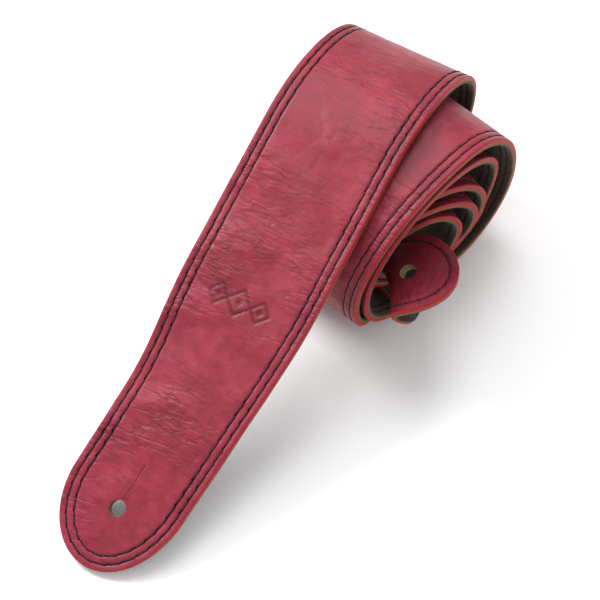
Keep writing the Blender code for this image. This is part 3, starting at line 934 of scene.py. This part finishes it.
pieces["tail_face_roll"] = build_ply(
    "tail_face_roll", FACE, TAIL, TAIL_ROWS_ROLLED, TAIL_BAND, 6, TAIL_ROW_INSETS, wrinkles=0.12,
    closed_start=False
)
pieces["tail_backing_roll"] = build_ply(
    "tail_backing_roll", BACKING, TAIL, TAIL_ROWS_ROLLED, TAIL_BAND, 6, TAIL_ROW_INSETS, closed_start=False
)
for name, piece in pieces.items():
    skin = TAIL_RED_SHADED if "tail" in name else RED
    dress(piece, [SUEDE, CUT_EDGE] if "backing" in name else [skin, EDGE_PAINT, CUT_EDGE])

# ---------------------------------------------------------------- stitches


def row_line(outline, inset, far):
    """One row of stitches laid flat, from the far left, round the tip, to the far right, then across."""
    angles = np.linspace(0, math.pi / 2, 60)
    edge, inward = outline.tip(angles)
    tip = edge + inward * inset
    s = np.arange(outline.tip_length + 1.0, far - inset, 1.0)
    edge, inward = outline.side(s)
    side = edge + inward * inset
    right = np.concatenate([tip, side, [[far - inset, outline.half(far) - inset]]])
    left = right[:0:-1] * np.array([1.0, -1.0])
    line = np.concatenate([left, right])
    return np.concatenate([line, line[:1]])


def stitches(name, outline, line, pitch, low, high, level, sign):
    """Every stitch of a row whose middle lies between low and high, as one mesh of short slanted threads."""
    steps = np.linalg.norm(np.diff(line, axis=0), axis=1)
    run = np.concatenate([[0.0], np.cumsum(steps)])
    count = int(round(run[-1] / pitch))
    pitch = run[-1] / count
    starts = np.arange(count) * pitch + STITCH_GAP / 2
    along = starts[:, None] + STITCH_SHARES[None, :] * (pitch - STITCH_GAP)
    flat = np.stack([np.interp(along, run, line[:, k]) for k in (0, 1)], axis=2)
    ahead = np.gradient(flat, axis=1)
    ahead /= np.linalg.norm(ahead, axis=2)[:, :, None]
    aside = np.stack([-ahead[:, :, 1], ahead[:, :, 0]], axis=2)
    flat = flat + aside * (STITCH_SHARES - 0.5)[None, :, None] * SLANT
    middle = flat[:, len(STITCH_SHARES) // 2, 0]
    flat = flat[(middle >= low) & (middle < high)]
    n = level + sign * (STITCH_HEIGHTS[None, :] - THREAD_RADIUS * THREAD_SINK) + 0 * flat[:, :, 0]
    centre = outline.place(flat[:, :, 0], flat[:, :, 1], n)
    above = outline.place(flat[:, :, 0], flat[:, :, 1], n + 1.0)
    normal = (above - centre) / MM
    tangent = np.gradient(centre, axis=1)
    tangent /= np.linalg.norm(tangent, axis=2)[:, :, None]
    side = np.cross(tangent, normal)
    side /= np.linalg.norm(side, axis=2)[:, :, None]
    lift = np.cross(side, tangent)
    a = 2 * math.pi * np.arange(THREAD_SIDES) / THREAD_SIDES
    radius = THREAD_RADIUS * MM * STITCH_SIZES[None, :, None, None]
    cos, sin = (v[None, None, :, None] for v in (np.cos(a), np.sin(a)))
    ring = side[:, :, None, :] * cos + lift[:, :, None, :] * sin
    points = centre[:, :, None, :] + ring * radius
    made, per = points.reshape(-1, 3), len(STITCH_SHARES) * THREAD_SIDES
    faces = []
    for base in range(0, len(made), per):
        for start in range(base, base + per - THREAD_SIDES, THREAD_SIDES):
            for j in range(THREAD_SIDES):
                p, q = start + j, start + (j + 1) % THREAD_SIDES
                faces.append((p, q, q + THREAD_SIDES, p + THREAD_SIDES))
        faces.append(tuple(base + j for j in reversed(range(THREAD_SIDES))))
        faces.append(tuple(base + per - THREAD_SIDES + j for j in range(THREAD_SIDES)))
    mesh = bpy.data.meshes.new(name)
    mesh.from_pydata([tuple(v) for v in made], [], faces)
    unshaded = mesh.attributes.new("unshaded", "FLOAT", "POINT")
    unshaded.data.foreach_set("value", np.tile(np.repeat(STITCH_UNSHADED, THREAD_SIDES), len(flat)))
    bm = bmesh.new()
    bm.from_mesh(mesh)
    bmesh.ops.recalc_face_normals(bm, faces=bm.faces)
    for face in bm.faces:
        face.smooth = True
    bm.to_mesh(mesh)
    bm.free()
    obj = linked(name, mesh)
    dress(obj, [THREAD])
    return obj


# Limits that no stitch lies beyond, and the two sides of the strap: height of each and which way is out.
NEAR, FAR = -1.0, 1.0e6
SURFACES = (("top", TOP, 1.0), ("under", UNDER, -1.0))
threads = {}
for label, inset in zip(("outer", "inner"), ROW_INSETS):
    line = row_line(STRAP, inset, STRAP_END)
    for side_name, level, sign in SURFACES:
        for end_name, low, high in (("lead", NEAR, LEAD_END), ("roll", LEAD_END, FAR)):
            key = f"{label}_stitches_{side_name}_{end_name}"
            threads[key] = stitches(key, STRAP, line, STITCH_PITCH, low, high, level, sign)
TAIL_LINE = row_line(TAIL, TAIL_ROW_INSET, TAIL_LENGTH)
for side_name, level, sign in SURFACES:
    for end_name, low, high in (("end", NEAR, TAIL_TAB_LENGTH), ("roll", TAIL_TAB_LENGTH, FAR)):
        key = f"tail_stitches_{side_name}_{end_name}"
        threads[key] = stitches(key, TAIL, TAIL_LINE, TAIL_PITCH, low, high, level, sign)
LAP_NEAR, LAP_FAR = TAIL_START + LAP_SEAM_INSETS[0], STRAP_END - LAP_SEAM_INSETS[1]
LAP_HALF = TAIL_WIDTH / 2 - LAP_SEAM_INSETS[2]
LAP_CORNERS = [(LAP_NEAR, -LAP_HALF), (LAP_FAR, -LAP_HALF), (LAP_FAR, LAP_HALF), (LAP_NEAR, LAP_HALF)]
LAP_LINE = np.array(LAP_CORNERS + LAP_CORNERS[:1])
threads["lap_seam_stitches"] = stitches("lap_seam_stitches", STRAP, LAP_LINE, TAIL_PITCH, NEAR, FAR, TOP, 1.0)

# ---------------------------------------------------------------- bodies

AREA_STEPS = 800


def point(s):
    """The point of the path's middle line at distance s."""
    return tuple(float(v) for v in PATH.place(s, 0.0, 0.0))


LEAD_START, LEAD_STOP = point(FRONT_BEND + FRONT_SPREAD[0]), point(FRONT_BEND - FRONT_SPREAD[1])
TAB_START, TAB_STOP = point(TAB_BEND - TAB_SPREAD[0]), point(TAB_BEND + TAB_SPREAD[1])
for name, piece in {**pieces, **threads}.items():
    if name.endswith("_lead"):
        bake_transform(piece)
    elif name.endswith("_end"):
        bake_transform(piece)
    else:
        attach(piece, "roll")


def declare_sheet(outline, start, end):
    """A ply as leather cut flat: its outline between two distances from the tip gives its area, which is
    computed and not kept.
    """
    s = np.linspace(start, end, AREA_STEPS)
    area = np.trapz([2 * outline.half(v) for v in s], s)


for layer in ("face", "backing"):
    declare_sheet(STRAP, 0.0, LEAD_END)
    declare_sheet(STRAP, LEAD_END, STRAP_END)
    declare_sheet(TAIL, 0.0, TAIL_TAB_LENGTH)
    declare_sheet(TAIL, TAIL_TAB_LENGTH, TAIL_LENGTH)

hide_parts("strap_face_front_run")
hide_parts("strap_backing_front_run")
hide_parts("strap_face_rolled")
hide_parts("strap_backing_rolled")
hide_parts("tail_face_rolled")
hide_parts("tail_backing_rolled")
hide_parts("tail_face_tab")
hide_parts("tail_backing_tab")
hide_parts("outer_stitch_row_front_run")
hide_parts("outer_stitch_row_rolled")
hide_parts("inner_stitch_row_front_run")
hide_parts("inner_stitch_row_rolled")
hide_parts("tail_stitch_row_tab")
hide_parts("tail_stitch_row_rolled")
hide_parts("tail_lap_seam")

# ---------------------------------------------------------------- floor, light, camera

FLOOR_HALF = 4
FLOOR_CORNERS = [(x * FLOOR_HALF, y * FLOOR_HALF, 0) for x, y in ((-1, -1), (1, -1), (1, 1), (-1, 1))]
floor_mesh = bpy.data.meshes.new("floor")
floor_mesh.from_pydata(FLOOR_CORNERS, [], [(0, 1, 2, 3)])
floor = linked("floor", floor_mesh)
floor_material, _, shader = new_material("pale_floor")
shader.inputs["Base Color"].default_value = (0.93, 0.93, 0.93, 1)
shader.inputs["Roughness"].default_value = 0.8
shader.inputs["Specular IOR Level"].default_value = 0.2
floor_mesh.materials.append(floor_material)

world = bpy.data.worlds.new("studio")
world.use_nodes = True
background = next(n for n in world.node_tree.nodes if n.type == "BACKGROUND")
background.inputs[0].default_value = (1.0, 1.0, 1.0, 1)
background.inputs[1].default_value = 0.8
bpy.context.scene.world = world

# The camera looks at a point of the table, along a heading anticlockwise from +Y and down by its elevation.
AZIMUTH, ELEVATION, DISTANCE = 31.2, 57.97, 0.638
TARGET = Vector(((2.12 - ORIGIN[0]) * MM, (165.67 - ORIGIN[1]) * MM, 0.0))
a, e = math.radians(AZIMUTH), math.radians(ELEVATION)
view = Vector((-math.sin(a) * math.cos(e), math.cos(a) * math.cos(e), -math.sin(e)))
right = Vector((math.cos(a), math.sin(a), 0.0))
up = right.cross(view)

camera_data = bpy.data.cameras.new("camera")
camera_data.lens = 78.0
camera_data.sensor_width = 36.0
camera_data.clip_start = 0.01
camera_data.clip_end = 50.0
camera_data.dof.use_dof = False
camera = linked("camera", camera_data)
turned = Matrix((right, up, -view)).transposed().to_4x4()
camera.matrix_world = Matrix.Translation(TARGET - view * DISTANCE) @ turned
bpy.context.scene.camera = camera


def area_light(name, location, target, size, power):
    """A square soft white light, aimed at target."""
    data = bpy.data.lights.new(name, "AREA")
    data.shape = "SQUARE"
    data.size = size
    data.energy = power
    light = linked(name, data)
    light.location = location
    light.rotation_euler = (target - location).to_track_quat("-Z", "Y").to_euler()


centre = Vector((0.0, 0.02, 0.04))
ahead = Vector((view.x, view.y, 0.0)).normalized()
key_place = centre - right * 0.78 + ahead * 0.5 + Vector((0, 0, 0.85))
back_place = centre + ahead * 0.62 + Vector((0, 0, 1.45))
area_light("key", key_place, centre, size=0.45, power=15.0)
area_light("back", back_place, centre, size=0.7, power=11.0)

bpy.context.scene.view_settings.view_transform = "Standard"
